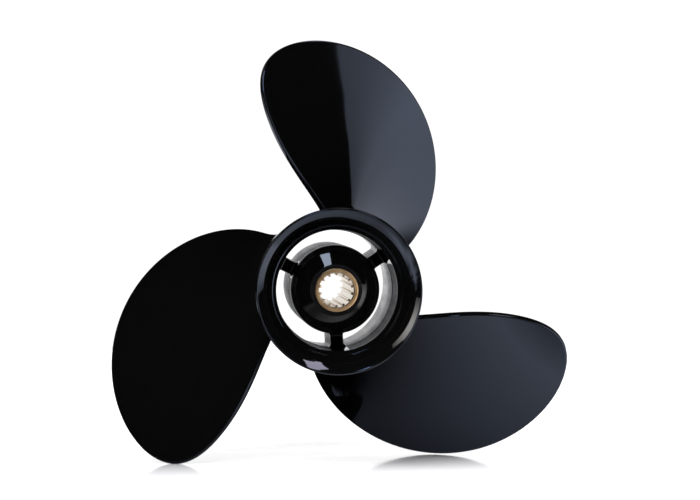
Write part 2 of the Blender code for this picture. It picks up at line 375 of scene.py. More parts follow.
def dress(
    node: str,
    points: Array,
    material: Material,
    cover: Array | None = None,
    caps: Faces | None = None,
) -> Piece:
    """Put a skin in the place of a CAD node.

    The skin is closed and points out, and is smooth except at its sharp edges.

    Args:
        node: The CAD node, which gives the skin its name.
        points: Grid of points, whose last axis holds x, y and z and whose columns close on themselves.
        material: The skin's finish.
        cover: Share of paint, painted shade included, or in the sleeve of polish, on each vertex, from 0 for
            the bare metal to 1.
        caps: Faces that close the first and last rows, or None where these rows join each other.

    Returns:
        The piece.
    """
    rows, columns = points.shape[:2]
    faces = grid_quads(rows, columns, caps is None) + list(caps or [])
    mesh = new_mesh(node + "_skin", points, faces, COVER, cover)
    shape = bmesh.new()
    shape.from_mesh(mesh)
    inside_out = shape.calc_volume(signed=True) < 0
    shape.free()
    if inside_out:
        mesh.flip_normals()
    mesh.shade_smooth()
    mesh.set_sharp_from_angle(angle=math.radians(SHARP_ANGLE))
    mesh.materials.append(material)
    piece = add_object(mesh.name, mesh)
    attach(piece, BODY)
    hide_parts(node)
    log.info("%s: %d faces for %s", mesh.name, len(mesh.polygons), node)
    return piece


@dataclass(frozen=True)
class Finish:
    """What every finish shares. Its shader method says which nodes make the surface."""

    name: str

    def shader(self, tree: Tree) -> Node:
        """Add the nodes of the surface to a tree, and return the last of them."""
        raise NotImplementedError

    def material(self) -> Material:
        """Build the material.

        Returns:
            The material.
        """
        material = bpy.data.materials.new(self.name)
        material.use_nodes = True
        tree = material.node_tree
        tree.nodes.clear()
        add_node(tree, "OutputMaterial", {}, {"Surface": self.shader(tree)})
        return material


@dataclass(frozen=True)
class MarineEnamel(Finish):
    """Black acrylic enamel, sprayed on primer and baked.

    It gives the eye a deep black with a cool mirror, slightly uneven where the sprayed film has drawn
    into the soft waves that painters call orange peel.
    """

    name: str = "sprayed_black_marine_enamel"
    colour: str = "#050505"
    mirror_tint: str = "#C3D2F2"
    ior: float = 1.58
    roughness: float = 0.045
    peel_mm: float = 2.4
    peel_height_mm: float = 0.0012
    ripple_mm: float = 22.0
    ripple_height_mm: float = 0.05

    def film(self, tree: Tree, place: Socket, under: Node | None = None) -> Node:
        """Add the waves of the film: the casting's long ripples and the fine orange peel.

        Args:
            tree: The material's node tree.
            place: Object coordinates.
            under: Bumps of what lies under the film, if it has any.

        Returns:
            The node that gives the normal.
        """
        at = {"Vector": place}
        ripple = add_node(tree, "TexNoise", {"Scale": per_metre(self.ripple_mm), "Detail": 0.0}, at)
        peel = add_node(tree, "TexNoise", {"Scale": per_metre(self.peel_mm), "Detail": 1.0}, at)
        share = self.peel_height_mm / self.ripple_height_mm
        height = add_node(tree, "Math", {"operation": "MULTIPLY_ADD", 1: share}, {0: peel, 2: ripple})
        links = {"Height": height} if under is None else {"Height": height, "Normal": under}
        return add_node(tree, "Bump", {"Strength": 1.0, "Distance": self.ripple_height_mm * MM}, links)

    def shader(self, tree: Tree) -> Node:
        """Add the nodes of a piece that is painted all over.

        Args:
            tree: The material's node tree.

        Returns:
            The surface's node.
        """
        place = add_node(tree, "TexCoord").outputs["Object"]
        settings = {
            "Base Color": linear(self.colour),
            "Roughness": self.roughness,
            "IOR": self.ior,
            "Specular Tint": linear(self.mirror_tint),
        }
        return add_node(tree, "BsdfPrincipled", settings, {"Normal": self.film(tree, place)})


@dataclass(frozen=True)
class PaintedCasting(Finish):
    """Die-cast aluminium that the spray gun reached only in part.

    The black enamel fades over a millimetre or two of dusty overspray into the bare casting, whose grey
    skin is cloudy and faintly grained, with drag marks along the draw of the cores.
    """

    name: str = "part_painted_cast_aluminium"
    enamel: MarineEnamel = field(default_factory=MarineEnamel)
    light: str = "#DADADD"
    dark: str = "#7F8084"
    tones: Span = (0.45, 0.9)
    roughness: float = 0.46
    cloud_mm: float = 6.0
    grain_mm: float = 0.7
    grain_share: float = 0.35
    grain_height_mm: float = 0.03
    drag_stretch: float = 0.12
    overspray_mm: float = 1.2
    overspray_reach: float = 0.3
    overspray_noise: Span = (0.3, 0.7)
    overspray_edge: Span = (0.35, 0.65)

    def mask(self, tree: Tree, place: Socket) -> Node:
        """Add the share of paint, painted shade included, from the piece's own attribute and with a dusty
        edge.

        Args:
            tree: The material's node tree.
            place: Object coordinates.

        Returns:
            The node that gives the share.
        """
        noise = {"Scale": per_metre(self.overspray_mm), "Detail": 3.0}
        spray = add_node(tree, "TexNoise", noise, {"Vector": place})
        (low, high), reach = self.overspray_noise, self.overspray_reach
        spread = {"From Min": low, "From Max": high, "To Min": -reach, "To Max": reach}
        dust = add_node(tree, "MapRange", spread, {"Value": spray})
        painted = add_node(tree, "Attribute", {"attribute_name": COVER}).outputs["Fac"]
        total = add_node(tree, "Math", {"operation": "ADD"}, {0: painted, 1: dust})
        low, high = self.overspray_edge
        edge = {"From Min": low, "From Max": high, "interpolation_type": "SMOOTHSTEP"}
        return add_node(tree, "MapRange", edge, {"Value": total})

    def shader(self, tree: Tree) -> Node:
        """Add the nodes of a piece that is painted in part.

        Args:
            tree: The material's node tree.

        Returns:
            The surface's node.
        """
        place = add_node(tree, "TexCoord").outputs["Object"]
        mask = self.mask(tree, place)
        drawn = add_node(tree, "Mapping", {"Scale": (1.0, self.drag_stretch, 1.0)}, {"Vector": place})
        clouds = {"Scale": per_metre(self.cloud_mm), "Detail": 6.0, "Roughness": 0.65}
        cloud = add_node(tree, "TexNoise", clouds, {"Vector": drawn})
        grains = {"Scale": per_metre(self.grain_mm), "Detail": 2.0}
        grain = add_node(tree, "TexNoise", grains, {"Vector": place})
        blend = {"operation": "MULTIPLY_ADD", 1: self.grain_share}
        tone = add_node(tree, "Math", blend, {0: grain, 2: cloud})
        ramp = stops(self.tones, self.dark, self.light)
        metal = add_node(tree, "ValToRGB", {"color_ramp": ramp}, {"Fac": tone})
        black = {"data_type": "RGBA", 7: linear(self.enamel.colour)}
        colour = add_node(tree, "Mix", black, {0: mask, 6: metal}).outputs[2]
        bare = add_node(tree, "Math", {"operation": "SUBTRACT", 0: 1.0}, {1: mask})
        gloss = {"To Min": self.roughness, "To Max": self.enamel.roughness}
        roughness = add_node(tree, "MapRange", gloss, {"Value": mask})
        bumps = {"Height": grain, "Strength": bare}
        skin = add_node(tree, "Bump", {"Distance": self.grain_height_mm * MM}, bumps)
        normal = self.enamel.film(tree, place, skin)
        links = {"Base Color": colour, "Metallic": bare, "Roughness": roughness, "Normal": normal}
        return add_node(tree, "BsdfPrincipled", {}, links)


@dataclass(frozen=True)
class TurnedBrass(Finish):
    """Free-cutting brass, faced on a lathe and dulled by handling, and burnished by the broach inside.

    It gives the eye a warm tan metal whose face is crossed by rings from the tool, and a pale bright
    bore. A real tool leaves a ring about every 0.1 mm, which wouldn't show, so the rings are drawn some
    twenty times as coarse.
    """

    name: str = "turned_brass"
    colour: str = "#DCB78C"
    stain: str = "#B8976F"
    stain_span: Span = (0.35, 0.6)
    stain_mm: float = 5.0
    polished: str = "#D3C6B4"
    roughness: float = 0.4
    polished_roughness: float = 0.24
    ring_mm: float = 2.263
    ring_height_mm: float = 0.006
    ring_waver: float = 0.6

    def shader(self, tree: Tree) -> Node:
        """Add the nodes of the surface, with rings round the Y axis.

        Args:
            tree: The material's node tree.

        Returns:
            The surface's node.
        """
        at = {"Vector": add_node(tree, "TexCoord").outputs["Object"]}
        blotch = add_node(tree, "TexNoise", {"Scale": per_metre(self.stain_mm), "Detail": 5.0}, at)
        ramp = stops(self.stain_span, self.stain, self.colour)
        face = add_node(tree, "ValToRGB", {"color_ramp": ramp}, {"Fac": blotch})
        tool = {
            "wave_type": "RINGS",
            "rings_direction": "Y",
            "Scale": per_metre(self.ring_mm) / WAVES_PER_UNIT,
            "Distortion": self.ring_waver,
            "Detail": 2.0,
        }
        rings = {"Height": add_node(tree, "TexWave", tool, at).outputs["Fac"]}
        bump = add_node(tree, "Bump", {"Strength": 1.0, "Distance": self.ring_height_mm * MM}, rings)
        inside = add_node(tree, "Attribute", {"attribute_name": COVER}).outputs["Fac"]
        bright = {"data_type": "RGBA", 7: linear(self.polished)}
        colour = add_node(tree, "Mix", bright, {0: inside, 6: face}).outputs[2]
        gloss = {"To Min": self.roughness, "To Max": self.polished_roughness}
        roughness = add_node(tree, "MapRange", gloss, {"Value": inside})
        links = {"Base Color": colour, "Roughness": roughness, "Normal": bump}
        return add_node(tree, "BsdfPrincipled", {"Metallic": 1.0}, links)


@dataclass(frozen=True)
class MouldedRubber(Finish):
    """Carbon-black rubber, moulded and pressed in.

    It gives the eye a matte black with a faint powdery bloom in patches.
    """

    name: str = "moulded_black_rubber"
    colour: str = "#0B0B0C"
    bloom: str = "#141416"
    bloom_span: Span = (0.4, 0.75)
    roughness: float = 0.78
    mirror: float = 0.2
    patch_mm: float = 3.0
    grain_mm: float = 0.5
    grain_height_mm: float = 0.02

    def shader(self, tree: Tree) -> Node:
        """Add the nodes of the surface.

        Args:
            tree: The material's node tree.

        Returns:
            The surface's node.
        """
        at = {"Vector": add_node(tree, "TexCoord").outputs["Object"]}
        patch = add_node(tree, "TexNoise", {"Scale": per_metre(self.patch_mm), "Detail": 4.0}, at)
        ramp = stops(self.bloom_span, self.colour, self.bloom)
        colour = add_node(tree, "ValToRGB", {"color_ramp": ramp}, {"Fac": patch})
        grain = {"Height": add_node(tree, "TexNoise", {"Scale": per_metre(self.grain_mm)}, at)}
        bump = add_node(tree, "Bump", {"Strength": 1.0, "Distance": self.grain_height_mm * MM}, grain)
        settings = {"Roughness": self.roughness, "Specular IOR Level": self.mirror}
        return add_node(tree, "BsdfPrincipled", settings, {"Base Color": colour, "Normal": bump})


@dataclass(frozen=True)
class PolishedAcrylic(Finish):
    """White acrylic sheet, polished in part.

    It gives the eye a matte white that mirrors the blades where its attribute says that it is polished.
    """

    name: str = "polished_white_acrylic"
    colour: str = "#F4F4F6"
    gloss: str = "#FFFFFF"
    roughness: float = 0.1

    def shader(self, tree: Tree) -> Node:
        """Add the nodes of the surface.

        Args:
            tree: The material's node tree.

        Returns:
            The surface's node.
        """
        matte = add_node(tree, "BsdfDiffuse", {"Color": linear(self.colour)})
        gloss = add_node(tree, "BsdfGlossy", {"Color": linear(self.gloss), "Roughness": self.roughness})
        polish = add_node(tree, "Attribute", {"attribute_name": POLISH}).outputs["Fac"]
        return add_node(tree, "MixShader", {}, {0: polish, 1: matte, 2: gloss})


@dataclass(frozen=True)
class CardLight(Finish):
    """The light of a card, as strong at each point as the card's attribute says."""

    colour: str = "#FFFFFF"

    def shader(self, tree: Tree) -> Node:
        """Add the nodes of the light."""
        lit = add_node(tree, "Attribute", {"attribute_name": GLOW}).outputs["Fac"]
        return add_node(tree, "Emission", {"Color": linear(self.colour)}, {"Strength": lit})


@dataclass(frozen=True)
class FlaredRing:
    """The flared ring round the aft end of the barrel. Sizes are millimetres."""

    outline: Outline = (
        (35.2, RING_JOINT, 0),
        (35.2, 12.5, 6.0),  # neck
        (38.6, 6.4, 14.0),
        (42.92, 1.2, 0.7),  # widest part of the side
        (42.2, -0.02, 0.45),  # round lip
        (41.7, 0.12, 0.35),
        (39.4, 1.9, 30.0),  # flat flare
        (37.2, 4.0, 0.8),
        (33.8, 11.0, 0.2),  # foot of the steeper wall
        (33.35, 11.12, 0.25),  # narrow land
        (31.4, 15.0, 0.8),  # throat
        (31.4, RING_JOINT, 0),
    )
    run: float = 0.6
    segments: int = 288

    def build(self, enamel: Material) -> Piece:
        """Build the ring, which is painted all over."""
        points = turned(rounded(self.outline, self.run), self.segments)
        return dress("flared_ring", points, enamel)


@dataclass(frozen=True)
class Barrel:
    """The hollow outer hub, with the exhaust passage inside it.

    Inside the passage the spray reached only the front. The black on the flash line is a painted dark line
    that stands in for the shade at its step, and the black beside the ribs is painted shade of the ribs.
    Sizes are millimetres. Each span of paint is the depths between which it fades, and beside_rib is in
    degrees from the rib's middle.
    """

    outline: Outline = (
        (31.4, RING_JOINT, 0),
        (35.2, RING_JOINT, 0),
        (37.0, 36.0, 20.0),  # end of the taper
        (37.0, BARREL_FRONT, 1.0),
        (33.0, BARREL_FRONT, 0.5),
        (31.0, 37.5, 0.2),  # flash line, where the cores of the passage met
        (30.75, 37.15, 0.1),
        (30.75, 36.85, 0.1),
        (31.0, 36.5, 0.2),
    )
    flash_depth: float = 37.0
    flash_reach: float = 0.3
    flash_r: float = 30.875
    # painted shade: share of black enamel on the flash line's crest, a dark line that stands in for the
    # shade at its step
    flash_painted_shade: float = 0.8
    # beside_rib and beside_rib_end bound the painted shade of the ribs on the passage wall
    beside_rib: Span = (7.0, 10.0)
    beside_rib_end: Span = (36.5, 38.5)
    front_paint: Span = (BARREL_FRONT - 4.0, BARREL_FRONT - 1.0)
    inside_r: float = 33.3
    inside_end: float = BARREL_FRONT - 0.4
    segments: int = 288

    def build(self, casting: Material) -> Piece:
        """Build the barrel: painted outside, and in part inside.

        Args:
            casting: The finish.

        Returns:
            The barrel.
        """
        points = turned(rounded(self.outline), self.segments)
        radius, depth = radius_and_depth(points)
        # Painted shade: black enamel on the flash line's crest draws a dark line in place of the shade at
        # the step.
        on_flash = (np.abs(depth - self.flash_depth) < self.flash_reach) & (radius < self.flash_r)
        # Painted shade: black enamel beside the ribs stands in for the ribs' shade on the wall.
        beside = painted_rib_shade(points, self.beside_rib, self.beside_rib_end)
        in_front = smooth_step(*self.front_paint, depth)
        cover = np.maximum.reduce([beside, in_front, self.flash_painted_shade * on_flash])
        inside = (radius < self.inside_r) & (depth < self.inside_end)
        return dress("outer_barrel", points, casting, np.where(inside, cover, 1.0))


@dataclass(frozen=True)
class InnerHub:
    """The hub inside the passage, whose conical nose breaks at a soft edge into the round shoulder.

    Sizes are millimetres. Each span of paint is the depths between which it fades, and beside_rib is in
    degrees from the rib's middle.
    """

    outline: Outline = (
        (13.2, 25.0, 0),
        (13.2, 18.9, 0.15),  # mouth
        (20.9, 22.3, 0.5),  # edge of the nose
        (22.95, 24.9, 4.0),
        (23.3, 29.1, 8.0),  # end of the shoulder
        (23.3, HUB_FRONT, 0.5),
        (17.0, HUB_FRONT, 0.4),
        (17.0, 25.0, 0),
    )
    shoulder_paint: Span = (28.7, 31.1)
    # beside_rib and beside_rib_end bound the painted shade of the ribs on the hub
    beside_rib: Span = (10.0, 14.0)
    beside_rib_end: Span = (36.0, 39.0)
    bore_paint: Span = (30.0, 34.0)
    inside_r: float = 17.5
    segments: int = 240

    def build(self, casting: Material) -> Piece:
        """Build the hub: painted on its nose and shoulder, with painted shade beside the ribs, and bare
        forward of them.

        Args:
            casting: The finish.

        Returns:
            The hub.
        """
        points = turned(rounded(self.outline), self.segments)
        radius, depth = radius_and_depth(points)
        # Painted shade: black enamel beside the ribs darkens the hub where the ribs shade it.
        beside = painted_rib_shade(points, self.beside_rib, self.beside_rib_end)
        outside = np.maximum(1 - smooth_step(*self.shoulder_paint, depth), beside)
        bore = 1 - smooth_step(*self.bore_paint, depth)
        paint = np.where(radius < self.inside_r, bore, outside)
        return dress("inner_hub", points, casting, paint)


@dataclass(frozen=True)
class Rib:
    """A rib between the inner hub and the barrel. Sizes are millimetres.

    The paint is the depths between which it fades.
    """

    number: int
    hub_r: float = 23.3
    parting_r: float = 31.0
    front_r: float = 33.0
    aft_width: float = 6.8
    front_width: float = 7.4
    fillet: float = 2.0
    edge_round: float = 0.5
    face_fillet: float = 1.6
    face_fillet_share: float = 0.25
    aft_depth: float = 37.0
    front_depth: float = 74.0
    sink: float = 0.6
    paint: Span = (37.8, 40.2)
    edge_rows: int = 9
    middle_rows: int = 22
    fillet_points: int = 9
    flank_points: int = 9

    def wall_r(self, depth: Array) -> Array:
        """Radius of the passage's wall: it grows in a straight line from the parting line forward."""
        share = np.clip((depth - self.aft_depth) / (BARREL_FRONT - self.aft_depth), 0.0, 1.0)
        return self.parting_r + (self.front_r - self.parting_r) * share

    def flank(self, half: Array, wall: Array) -> tuple[Array, Array]:
        """Upper flank of the section for each row, from inside the hub to inside the wall.

        The flank is the line z = half. At each end a fillet of radius f leaves it and lands on the circle
        of the hub or wall, so the fillet's centre lies at z = half + f and at a distance of the circle's
        radius plus or minus f from the shaft's axis. The points are worked out as x + iz.

        Args:
            half: Half width of each row.
            wall: Radius of the passage's wall at each row.

        Returns:
            Two arrays of (rows, points): the distance x along the rib, and the height z over its middle.
        """
        half, wall = half[:, None], wall[:, None]
        height = half + self.fillet
        hub_x = np.sqrt((self.hub_r + self.fillet) ** 2 - height**2)
        wall_x = np.sqrt((wall - self.fillet) ** 2 - height**2)
        share = np.linspace(0.0, 1.0, self.fillet_points)[None, :]
        down = -math.pi / 2
        hub_end = np.arctan2(-height, -hub_x)
        hub_turn = hub_end + (down - hub_end) * share
        wall_turn = down + (np.arctan2(height, wall_x) - down) * share
        between = np.linspace(0.0, 1.0, self.flank_points + 2)[None, 1:-1]
        hub, outer = hub_x + 1j * height, wall_x + 1j * height
        points = (
            hub * (self.hub_r - self.sink) / np.abs(hub),
            hub + self.fillet * np.exp(1j * hub_turn),
            hub_x + (wall_x - hub_x) * between + 1j * half,
            outer + self.fillet * np.exp(1j * wall_turn),
            outer * (wall + self.sink) / np.abs(outer),
        )
        flank = np.concatenate(points, axis=1)
        return flank.real, flank.imag

    def grid(self) -> Array:
        """Points of the rib along +X.

        The rows run from the aft face forward. Over the first and last rows the width grows along a
        quarter circle, which rounds the long edges. Near the hub and the wall each point moves aft, or at
        the front end forward, by the height of a quarter circle over its tangent, which fills the corners.

        Returns:
            A grid of (rows, points, 3) in metres, whose rows close on themselves.
        """
        turn = np.radians(np.linspace(0.0, 90.0, self.edge_rows))
        aft = self.aft_depth + self.edge_round * (1 - np.cos(turn))
        front = self.front_depth - self.edge_round * (1 - np.cos(turn[::-1]))
        middle = np.linspace(aft[-1], front[0], self.middle_rows + 2)[1:-1]
        depth = np.concatenate([aft, middle, front])
        share = (depth - self.aft_depth) / (self.front_depth - self.aft_depth)
        width = self.aft_width + (self.front_width - self.aft_width) * share
        lost = np.concatenate([1 - np.sin(turn), np.zeros(len(middle)), 1 - np.sin(turn[::-1])])
        wall = self.wall_r(depth)
        x, z = self.flank(width / 2 - self.edge_round * lost, wall)
        distance = np.hypot(x, z)
        gap = np.minimum(distance - self.hub_r, wall[:, None] - distance)
        inner = np.clip(self.face_fillet - gap, 0.0, self.face_fillet)
        lift = self.face_fillet - np.sqrt(self.face_fillet**2 - inner**2)
        at_aft = np.clip(1 - share / self.face_fillet_share, 0.0, 1.0)
        at_front = np.clip(1 - (1 - share) / self.face_fillet_share, 0.0, 1.0)
        y = depth[:, None] + lift * (at_front - at_aft)[:, None]
        upper = np.stack([x, y, z], axis=-1)
        lower = np.stack([x, y, -z], axis=-1)[:, ::-1]
        return (np.concatenate([upper, lower], axis=1) + (0.0, AFT_LIP_Y / MM, 0.0)) * MM

    def build(self, casting: Material) -> Piece:
        """Build the rib: painted on its aft face and round its edges, and bare on its flanks.

        Args:
            casting: The finish.

        Returns:
            The rib.
        """
        points = self.grid()
        rows, columns = points.shape[:2]
        caps = []
        for first in (0, (rows - 1) * columns):
            near, far = np.split(first + np.arange(columns), 2)
            caps += ladder(near, far[::-1])
        _, depth = radius_and_depth(points)
        points = turn_about_shaft(points, -RIB_ANGLES[self.number])
        paint = 1 - smooth_step(*self.paint, depth)
        return dress(f"rib_{self.number + 1}", points, casting, paint, caps)


@dataclass(frozen=True)
class Blade:
    """A raked and skewed right-hand blade with a blunt trailing edge. Sizes are millimetres.

    The laws are polynomials in the share of the way from the barrel to the tip, in degrees, and angles on
    the blade run clockwise from the reference line, as seen from aft.
    """

    number: int
    root_r: float = 37.0
    tip_r: float = 130.0
    tip_gap: float = 0.002
    pitch: float = 279.0
    reference_angle: float = 76.7
    reference_depth: float = 55.0
    rake: float = 5.5
    midline: tuple[float, ...] = (22.4, -64.5, 45.9, -23.1)
    half_width: tuple[float, ...] = (38.2, 18.0, -38.1, 24.4)
    tip_roundness: float = 1.49
    root_thickness: float = 8.0
    tip_thickness: float = 2.6
    trailing_edge: float = 3.6
    leading_edge: float = 1.8
    corner: float = 1.0
    squareness: float = 3.5
    fullness: float = 0.8
    root_fillet: float = 6.0
    chord_fillet_share: float = 0.4
    fillet_ease: int = 6
    sink: float = 0.8
    fillet_rows: int = 14
    rows: int = 84
    columns: int = 120

    def radii(self) -> Array:
        """Radii of the rows: one sunk into the barrel, then even angles up the fillet, then on to the tip.

        Returns:
            The radii in millimetres. The last one stays a hair inside the tip, where the width is nil.
        """
        turn = np.linspace(0.0, 90.0, self.fillet_rows, endpoint=False)
        fillet = self.root_r + self.root_fillet * (1 - np.cos(np.radians(turn)))
        start = self.root_r + self.root_fillet
        share = np.sin(np.radians(np.linspace(0.0, 90.0, self.rows)))
        outer = start + (self.tip_r - start) * share
        outer[-1] = self.tip_r - self.tip_gap
        return np.concatenate([[self.root_r - self.sink], fillet, outer])

    def sheets(self, radius: Array) -> tuple[Array, Array, Array]:
        """Turns of the columns on each row, and the offsets of the aft face and the forward back.

        The rim's thickness falls in a straight line from the blunt trailing edge to the leading one. The
        thickness at a point is the section's, times (1 - (1 - g)^n)^(1/n) of the share g of the corner's
        reach that the point keeps from the outline, which leaves a blunt edge with round corners. That
        distance is the one to the line that cuts off the point's gaps to the outline along the chord and
        along the radius: their product over their diagonal.

        Args:
            radius: Radius of each row in millimetres.

        Returns:
            Three arrays of (rows, columns): the turn in radians, and both offsets in millimetres.
        """
        radius = radius[:, None]
        height = np.maximum(radius - self.root_r, 0.0)
        share = height / (self.tip_r - self.root_r)
        middle = np.radians(np.polynomial.polynomial.polyval(share, self.midline))
        widest = np.radians(np.polynomial.polynomial.polyval(share, self.half_width))
        half = widest * np.sqrt(1 - share**self.tip_roundness)
        rise = np.maximum(self.root_fillet - height, 0.0)
        spread = self.root_fillet - np.sqrt(self.root_fillet**2 - rise**2)
        along = radius / np.cos(np.arctan2(self.pitch, math.tau * radius))
        end_spread = self.chord_fillet_share * spread
        half = half + end_spread / along
        place = (1 - np.cos(np.linspace(0.0, math.pi, self.columns)))[None, :] / 2
        rim = self.trailing_edge + (self.leading_edge - self.trailing_edge) * place
        across = 2 * place - 1
        turn = middle + across * half
        chord_gap = half * (1 - np.abs(across)) * along
        inner = np.clip(np.abs(across) * half / (widest + end_spread / along), 0.0, 1.0)
        radial_gap = ((1 - inner**2) ** (1 / self.tip_roundness) - share) * (self.tip_r - self.root_r)
        radial_gap = np.maximum(radial_gap, 0.0)
        gap = chord_gap * radial_gap / np.maximum(np.hypot(chord_gap, radial_gap), NEARLY_ZERO)
        kept = np.clip(gap / (self.corner + end_spread), 0.0, 1.0)
        rounding = (1 - (1 - kept) ** self.squareness) ** (1 / self.squareness)
        most = self.root_thickness + (self.tip_thickness - self.root_thickness) * share
        body = np.maximum(most - rim, 0.0) * (4 * place * (1 - place)) ** self.fullness
        lift = spread * (1 - (1 - self.chord_fillet_share) * np.abs(across) ** self.fillet_ease)
        thickness = (rim + 2 * lift + body) * rounding
        centre = (rim + body) / 2
        return turn, centre - thickness / 2, centre + thickness / 2

    def place(self, radius: Array, turn: Array, offset: Array) -> Array:
        """Put points of the blade into space.

        On the cylinder of its radius a point lies at a turn on the helix of the blade's pitch, raked aft
        with the radius, and then moves by its offset forward and across the helix.

        Args:
            radius: Radius of each row.
            turn: Turn of each point in radians, clockwise from the reference line.
            offset: Offset of each point.

        Returns:
            Points in metres.
        """
        radius = radius[:, None]
        slope = np.arctan2(self.pitch, math.tau * radius)
        angle = math.radians(self.reference_angle) - (turn - offset * np.sin(slope) / radius)
        rake = math.tan(math.radians(self.rake)) * (radius - self.root_r)
        y = self.reference_depth - rake + self.pitch * turn / math.tau + offset * np.cos(slope)
        points = np.stack([radius * np.cos(angle), y + AFT_LIP_Y / MM, radius * np.sin(angle)], axis=-1)
        return points * MM

    def build(self, enamel: Material) -> Piece:
        """Build the blade as one skin over both faces, closed inside the barrel and at the tip.

        Args:
            enamel: The finish.

        Returns:
            The blade.
        """
        radius = self.radii()
        turn, face, back = self.sheets(radius)
        aft = self.place(radius, turn, face)
        forward = self.place(radius, turn, back)[:, -2:0:-1]
        points = turn_about_shaft(np.concatenate([aft, forward], axis=1), BLADE_TURNS[self.number])
        rows, columns = points.shape[:2]
        caps = folded_cap(0, columns) + folded_cap((rows - 1) * columns, columns)
        return dress(f"blade_{self.number + 1}", points, enamel, caps=caps)


@dataclass(frozen=True)
class RubberBush:
    """The rubber bush between the inner hub and the sleeve. Sizes are millimetres."""

    outline: Outline = (
        (11.35, 19.4, 0.2),
        (13.2, 18.9, 0.5),
        (13.2, 25.0, 0),  # foot of the neck
        (17.0, 25.0, 0),
        (17.0, SLEEVE_FRONT - 3.0, 0.6),  # front of the body
        (11.35, SLEEVE_FRONT - 3.0, 0.2),
    )
    segments: int = 192

    def build(self, rubber: Material) -> Piece:
        """Build the bush, whose soft neck shows between the hub's mouth and the sleeve."""
        return dress("rubber_bush", turned(rounded(self.outline), self.segments), rubber)


@dataclass(frozen=True)
class SplinedSleeve:
    """The brass sleeve, with a bore broached to 14 teeth. Sizes are millimetres.

    The shares of a tooth are counted in its pitch, and the stops of a groove in the way from its middle to
    the tooth's foot. A bevel bends once on its way, which rounds it.
    """

    outer_r: float = 11.35
    length: float = 70.0
    teeth: int = 14
    major_r: float = 8.9
    minor_r: float = 7.7
    root_share: float = 0.38
    crest_share: float = 0.22
    soft_share: float = 0.012
    soft_drop: float = 0.08
    groove_stops: Span = (0.34, 0.67)
    chamfer: float = 0.45
    entry: float = 0.35
    bevel_bend: float = 0.3
    land: float = 0.15
    body_rows: int = 40
    bore_rows: int = 48
    face_rows: int = 5

    def bore(self) -> tuple[Array, Array]:
        """Angles round the bore in radians and its radius at each, in millimetres.

        Over one pitch, counted in shares from the middle of a groove, the radius is the major one up to
        the foot of a tooth, falls in a straight flank to the minor one at its crest, and mirrors back.

        Returns:
            The angles and the radii, each with one value for every column of the mesh.
        """
        foot = (1 - self.root_share) / 2
        crest = (1 - self.crest_share) / 2
        soft = self.soft_share
        bends = np.array([foot - soft, foot + soft, crest - soft, crest + soft])
        groove = foot * np.array([0.0, *self.groove_stops])
        half = np.concatenate([groove, bends[:2], [(foot + crest) / 2], bends[2:], [(crest + 0.5) / 2]])
        drop = np.interp(half, bends, (0.0, self.soft_drop, 1 - self.soft_drop, 1.0))
        share = np.concatenate([half, [0.5], 1 - half[:0:-1]])
        radius = self.major_r - (self.major_r - self.minor_r) * np.concatenate([drop, [1.0], drop[:0:-1]])
        angles = (np.arange(self.teeth)[:, None] + share[None, :]).ravel() * math.tau / self.teeth
        return angles, np.tile(radius, self.teeth)

    def wall(self) -> Array:
        """Outline of the wall: down the plain outside, over the aft face, and back through the bore.

        Returns:
            A row for each point: its radius, or its offset from the bore, then its station, and then its
            share of the splines, which is 1 in the bore.
        """
        cut, entry, aft = self.chamfer, self.entry, -self.length
        bend, lead = cut * self.bevel_bend, entry * self.bevel_bend
        face = np.linspace(self.outer_r - cut, self.major_r + entry + self.land, self.face_rows)
        rows = [(self.outer_r, y, 0.0) for y in np.linspace(-cut, aft + cut, self.body_rows)]
        rows += [(self.outer_r - bend, aft + bend, 0.0)]
        rows += [(radius, aft, 0.0) for radius in face]
        rows += [(entry, aft, 1.0), (lead, aft + lead, 1.0)]
        rows += [(0.0, y, 1.0) for y in np.linspace(aft + entry, -entry, self.bore_rows)]
        rows += [(lead, -lead, 1.0), (entry, 0.0, 1.0)]
        rows += [(radius, 0.0, 0.0) for radius in face[::-1]]
        rows += [(self.outer_r - bend, -bend, 0.0)]
        return np.array(rows)

    def build(self, brass: Material) -> Piece:
        """Build the sleeve, polished in its bore.

        A point of the wall at angle a lies at its radius, or in the bore at bore(a) plus its offset.

        Args:
            brass: The finish.

        Returns:
            The sleeve.
        """
        angles, bore = self.bore()
        base, station, splined = self.wall().T[:, None]
        radius = base + splined * bore[:, None]
        x = radius * np.cos(angles)[:, None]
        z = radius * np.sin(angles)[:, None]
        points = np.stack([x, station + 0.0 * x, z], axis=-1) * MM
        return dress("splined_sleeve", points, brass, splined + 0.0 * x)


@dataclass(frozen=True)
class SoftBox:
    """A flat studio light. Its places and sizes are metres."""

    name: str
    place: Place
    target: Place
    size: Span
    radiance: float
    colour: str = "#FFFFFF"
    mirrored: bool = True

    def build(self) -> Piece:
        """Build the light, turned to its target. Its power is its radiance times its area times pi.

        Returns:
            The light.
        """
        lamp = bpy.data.lights.new(self.name, "AREA")
        lamp.shape = "RECTANGLE"
        lamp.size, lamp.size_y = self.size
        lamp.energy = self.radiance * self.size[0] * self.size[1] * math.pi
        lamp.color = linear(self.colour)[:3]
        item = add_object(self.name, lamp)
        item.location = self.place
        item.rotation_euler = (Vector(self.place) - Vector(self.target)).to_track_quat("Z", "Y").to_euler()
        item.visible_camera = False
        item.visible_glossy = self.mirrored
        return item


